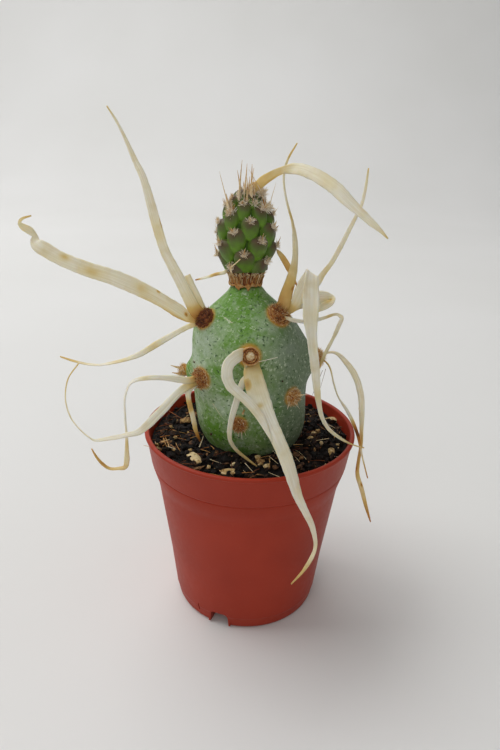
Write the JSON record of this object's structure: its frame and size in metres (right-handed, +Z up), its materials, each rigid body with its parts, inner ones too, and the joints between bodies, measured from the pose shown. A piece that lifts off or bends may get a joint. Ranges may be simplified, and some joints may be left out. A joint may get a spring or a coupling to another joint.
{
  "type": "potted paper spine cactus",
  "caption": "Small cactus with flat papery spines, a barrel-shaped lower joint and a knobbly young joint on top, standing in a tapered plastic nursery pot of soil.",
  "frame": {"origin": "on the pot's axis, at the underside of its flat base", "axes": "+Z up along the pot's axis; -Y toward the front, where the broad front spine hangs over the lip; +X to the right as seen from the front"},
  "size_m": [0.0867, 0.0676, 0.1278],
  "materials": {
    "terracotta_plastic": "satin red-brown moulded plastic",
    "potting_soil": "dark peat with bark chips",
    "glaucous_skin": "green skin with a pale speckled bloom",
    "young_skin": "dark green skin, browner at the tips",
    "collar_fibre": "red-brown dry fibre",
    "papery_spine": "dry cream paper, brown at the root",
    "amber_spine": "dry amber paper"
  },
  "bodies": {
    "root": {"pot": "terracotta_plastic", "soil": "potting_soil", "old_joint": "glaucous_skin", "neck_collar": "collar_fibre", "new_joint": "young_skin", "upper_left_spines": "papery_spine", "lower_left_spines": "papery_spine", "left_back_spines": "papery_spine", "front_spines": "papery_spine", "upper_right_spines": "papery_spine", "right_spines": "papery_spine", "low_right_spines": "papery_spine", "low_front_spines": "papery_spine", "upper_back_spines": "papery_spine", "middle_back_spines": "papery_spine", "low_back_spines": "papery_spine", "crown_spines": "papery_spine", "new_right_spines": "amber_spine", "new_left_spines": "amber_spine"}
  },
  "joints": []
}
